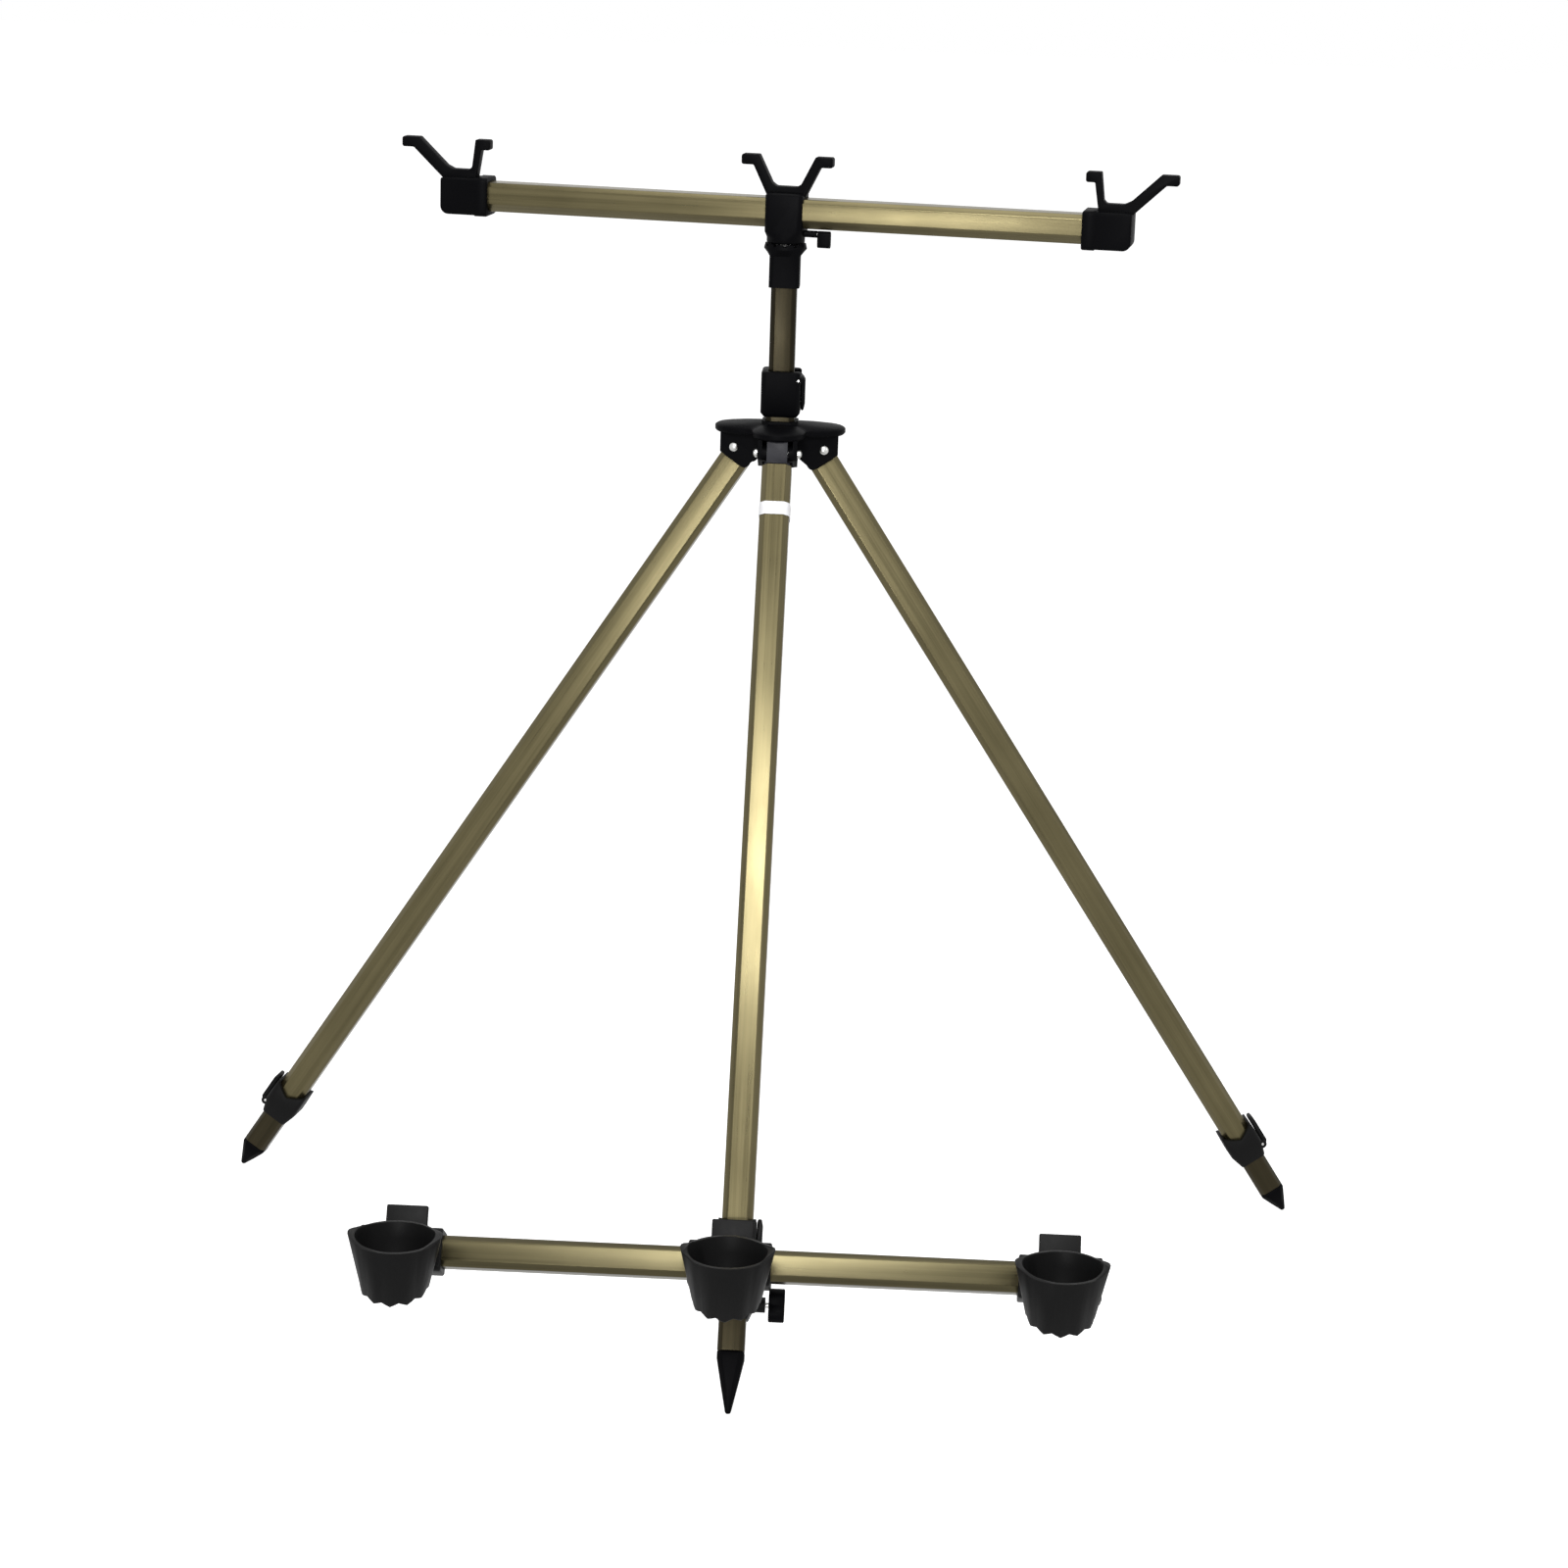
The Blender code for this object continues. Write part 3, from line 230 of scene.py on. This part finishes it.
boltSteel = {
    "shades": ((0.50, 0.50, 0.49), (0.66, 0.66, 0.64)),
    "rings": {"scale": 2600.0, "detail": 2.0},
    "haze": {"scale": 240.0, "detail": 3.0},
    "roughness": 0.2,
    "ringShare": 0.16,
    "depth": {"strength": 0.08, "distance": 0.05 * mm},
}


def turnedSteel(name):
    finish = Finish(name, 1.0)
    rings = finish.pattern(boltSteel["rings"])
    haze = finish.pattern(boltSteel["haze"])
    finish.use("Base Color", finish.shades(haze, boltSteel["shades"]))
    finish.use("Roughness", boltSteel["roughness"] + rings * boltSteel["ringShare"])
    finish.relief(rings, boltSteel["depth"])
    return finish.material


bandFilm = {
    "shades": ((0.74, 0.74, 0.77), (0.85, 0.85, 0.86)),
    "mottle": {"scale": 160.0, "detail": 4.0},
    "fibre": {"scale": 1500.0, "detail": 2.0},
    "roughness": 0.36,
    "fibreShare": 0.14,
    "depth": {"strength": 0.1, "distance": 0.05 * mm},
}


def whiteBand(name):
    finish = Finish(name, 0.0)
    mottle = finish.pattern(bandFilm["mottle"])
    fibre = finish.pattern(bandFilm["fibre"])
    finish.use("Base Color", finish.shades(mottle, bandFilm["shades"]))
    finish.use("Roughness", bandFilm["roughness"] + fibre * bandFilm["fibreShare"])
    finish.relief(fibre, bandFilm["depth"])
    return finish.material


blackPlastic = mouldedPlastic("black moulding", "black")
deepPlastic = mouldedPlastic("deep black moulding", "deep")
blueBlackPlastic = mouldedPlastic("blue-black moulding", "blueBlack")
steel = turnedSteel("turned steel")
band = whiteBand("white band")
barGold = anodisedTube("rod bar gold", "gold", barMatrix)
# the cup bar takes the gold with painted shade
cupBarGold = anodisedTube("cup bar gold", "lower", cupBarMatrix)
mastBronze = anodisedTube("mast bronze", "mast", mastMatrix)
print("materials made")

rounding = {
    "tube": (0.9, 3, 28),            # width in mm, segments, smallest edge angle in degrees
    "hub": (0.7, 2, 35),
    "collar": (0.6, 2, 40),
    "cup": (0.5, 2, 42),
    "fork": (0.35, 2, 50),
    "lever": (0.35, 2, 50),
    "knuckle": (0.7, 2, 40),
    "spike": (0.8, 3, 30),
    "small": (0.25, 2, 50),
}

merging = {
    "distance": 0.01 * mm,
    "flatAngle": 1.0,                # degrees under which two faces become one
    "sharpAngle": 50,                # degrees over which an edge is shaded sharp
}

bodyOf = {}
for body, names in frame["record"]["behaviour"]["bodies"].items():
    for name in names:
        bodyOf[name] = body


# a node's own mesh, with its flat faces merged and its edges rounded
def refined(node, kind, material):
    width, segments, angle = rounding[kind]
    source = frame["nodes"][node]
    shape = bmesh.new()
    shape.from_mesh(source.data)
    shape.transform(source.matrix_world)
    bmesh.ops.remove_doubles(shape, verts=shape.verts, dist=merging["distance"])
    flat = math.radians(merging["flatAngle"])
    bmesh.ops.dissolve_limit(shape, angle_limit=flat, verts=shape.verts, edges=shape.edges)
    bmesh.ops.recalc_face_normals(shape, faces=shape.faces)
    mesh = bpy.data.meshes.new(node + " look")
    shape.to_mesh(mesh)
    shape.free()
    piece = bpy.data.objects.new(node + "_look", mesh)
    bpy.context.collection.objects.link(piece)
    bevel = piece.modifiers.new("edges", "BEVEL")
    bevel.width = width * mm
    bevel.segments = segments
    bevel.limit_method = "ANGLE"
    bevel.angle_limit = math.radians(angle)
    bevel.use_clamp_overlap = True
    bevel.harden_normals = False
    mesh.materials.append(material)
    mesh.shade_smooth()
    mesh.set_sharp_from_angle(angle=math.radians(merging["sharpAngle"]))
    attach(piece, bodyOf[node])
    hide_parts(node)


for name in legs:
    matrix = legMatrix(name)
    gold = anodisedTube(name + " leg gold", "gold", matrix)
    bronze = anodisedTube(name + " leg bronze", "bronze", matrix)
    refined(name + "_leg_tube", "tube", gold)
    refined(name + "_inner_leg", "tube", bronze)
    refined(name + "_leg_knuckle", "knuckle", blueBlackPlastic)
    refined(name + "_lock_collar", "collar", blackPlastic)
    refined(name + "_lock_lever", "lever", blackPlastic)
    refined(name + "_glide_plug", "small", blackPlastic)
    refined(name + "_spike", "spike", deepPlastic)
    refined(name + "_pivot_bolt", "small", steel)
    refined(name + "_lever_pin", "small", steel)
print("legs dressed")

refined("leg_hub", "hub", deepPlastic)
refined("front_leg_band", "small", band)
refined("mast_outer_tube", "tube", mastBronze)
refined("mast_inner_tube", "tube", mastBronze)
refined("mast_lock_collar", "collar", deepPlastic)
refined("mast_lock_lever", "lever", deepPlastic)
refined("mast_lever_pin", "small", steel)
refined("mast_end_plug", "small", blackPlastic)
refined("swivel_sleeve", "collar", deepPlastic)
refined("swivel_bolt", "small", steel)
refined("head_body", "fork", deepPlastic)
refined("head_lock_tab", "small", deepPlastic)
refined("head_lock_shank", "small", steel)
refined("rod_bar", "tube", barGold)
refined("left_end_fork", "fork", deepPlastic)
refined("right_end_fork", "fork", deepPlastic)
refined("cup_bar", "tube", cupBarGold)
for name in ("left", "middle", "right"):
    refined(name + "_rod_cup", "cup", blackPlastic)
refined("bracket_wing", "small", deepPlastic)
refined("bracket_screw_shank", "small", steel)
print("hub, mast, head and lower rest dressed")

studio = {
    "floorSize": 12.0,
    "floorDrop": 0.5 * mm,           # under the tips of the spikes
    "floorShade": 0.55,
    "floorGlow": 0.88,               # what the camera sees of the floor, before the lamps add to it
    "worldStrength": 0.38,
}


def rayMask(tree, *kinds):           # 0 for a ray of any other kind
    path = tree.nodes.new("ShaderNodeLightPath")
    return sum(Flow(tree, path.outputs["Is " + kind + " Ray"]) for kind in kinds)


# the floor scatters light like plain grey, metal mirrors it as white, and the camera sees it glow
def litBackdrop(name):
    material = bpy.data.materials.new(name)
    material.use_nodes = True
    tree = material.node_tree
    tree.nodes.clear()
    shade = studio["floorShade"]
    plain = addNode(tree, "ShaderNodeBsdfDiffuse", {"Color": (shade, shade, shade, 1)})
    glow = addNode(tree, "ShaderNodeEmission", {"Strength": studio["floorGlow"]})
    white = addNode(tree, "ShaderNodeEmission", {"Strength": 1.0})
    lit = addNode(tree, "ShaderNodeAddShader", {0: plain, 1: glow})
    mirror = rayMask(tree, "Glossy", "Transmission")
    mirrored = addNode(tree, "ShaderNodeMixShader", {0: mirror, 1: plain, 2: white})
    seen = addNode(tree, "ShaderNodeMixShader", {0: rayMask(tree, "Camera"), 1: mirrored, 2: lit})
    target = tree.nodes.new("ShaderNodeOutputMaterial")
    feed(tree, target.inputs["Surface"], seen)
    return material


def makeFloor():
    shape = bmesh.new()
    bmesh.ops.create_grid(shape, x_segments=1, y_segments=1, size=studio["floorSize"])
    mesh = bpy.data.meshes.new("floor")
    shape.to_mesh(mesh)
    shape.free()
    floor = bpy.data.objects.new("floor", mesh)
    floor.location = (0, 0, -studio["floorDrop"])
    bpy.context.collection.objects.link(floor)
    mesh.materials.append(litBackdrop("studio floor"))


def makeWorld():
    world = bpy.data.worlds.new("studio")
    bpy.context.scene.world = world
    world.use_nodes = True
    tree = world.node_tree
    back = tree.nodes["Background"]
    feed(tree, back.inputs["Color"], (1, 1, 1, 1))
    seen = rayMask(tree, "Camera", "Glossy", "Transmission")
    seen = seen.calc("MINIMUM", seen, 1.0)
    low = studio["worldStrength"]
    feed(tree, back.inputs["Strength"], low + seen * (1 - low))


lamps = {
    "key": {"power": 52.0, "size": 0.9, "place": (-0.05, -2.15, 2.2), "target": (0, -0.05, 0.25)},
    "front": {"power": 30.0, "size": 0.6, "place": (-0.45, -3.4, 0.44), "target": (0.1, 0.1, 0.75)},
    "fill": {"power": 8.0, "size": 1.4, "place": (2.4, -1.4, 1.5), "target": (0, 0.1, 0.4)},
    "top": {"power": 20.0, "size": 1.6, "place": (0.1, 0.3, 2.7), "target": (0, 0.1, 0.5)},
}


def makeLamp(name):
    lamp = bpy.data.lights.new(name, "AREA")
    lamp.energy = lamps[name]["power"]
    lamp.size = lamps[name]["size"]
    item = bpy.data.objects.new(name, lamp)
    bpy.context.collection.objects.link(item)
    item.location = lamps[name]["place"]
    aim = Vector(lamps[name]["target"]) - Vector(lamps[name]["place"])
    item.rotation_euler = aim.to_track_quat("-Z", "Y").to_euler()


view = {
    "place": (0.1204, mastY - 2.9556, pivotHeight + 0.5241),
    "yaw": -2.111,                   # degrees, like the next two; below zero looks to the left
    "pitch": 14.888,                 # looking down
    "roll": 1.816,
    "lens": 91.47,
    "sensor": 36.0,
}


def makeCamera():
    yaw, pitch, roll = (math.radians(view[key]) for key in ("yaw", "pitch", "roll"))
    level = math.cos(pitch)
    ahead = Vector((math.sin(yaw) * level, math.cos(yaw) * level, -math.sin(pitch)))
    right = Vector((math.cos(yaw), -math.sin(yaw), 0))
    up = right.cross(ahead)
    tiltedRight = right * math.cos(roll) + up * math.sin(roll)
    tiltedUp = up * math.cos(roll) - right * math.sin(roll)
    turn = Matrix((tiltedRight, tiltedUp, -ahead)).transposed().to_4x4()
    lens = bpy.data.cameras.new("camera")
    lens.sensor_width = view["sensor"]
    lens.lens = view["lens"]
    camera = bpy.data.objects.new("camera", lens)
    bpy.context.collection.objects.link(camera)
    camera.matrix_world = Matrix.Translation(view["place"]) @ turn
    bpy.context.scene.camera = camera


makeFloor()
makeWorld()
for name in lamps:
    makeLamp(name)
makeCamera()
bpy.context.scene.view_settings.view_transform = "Standard"
print("studio and camera set")
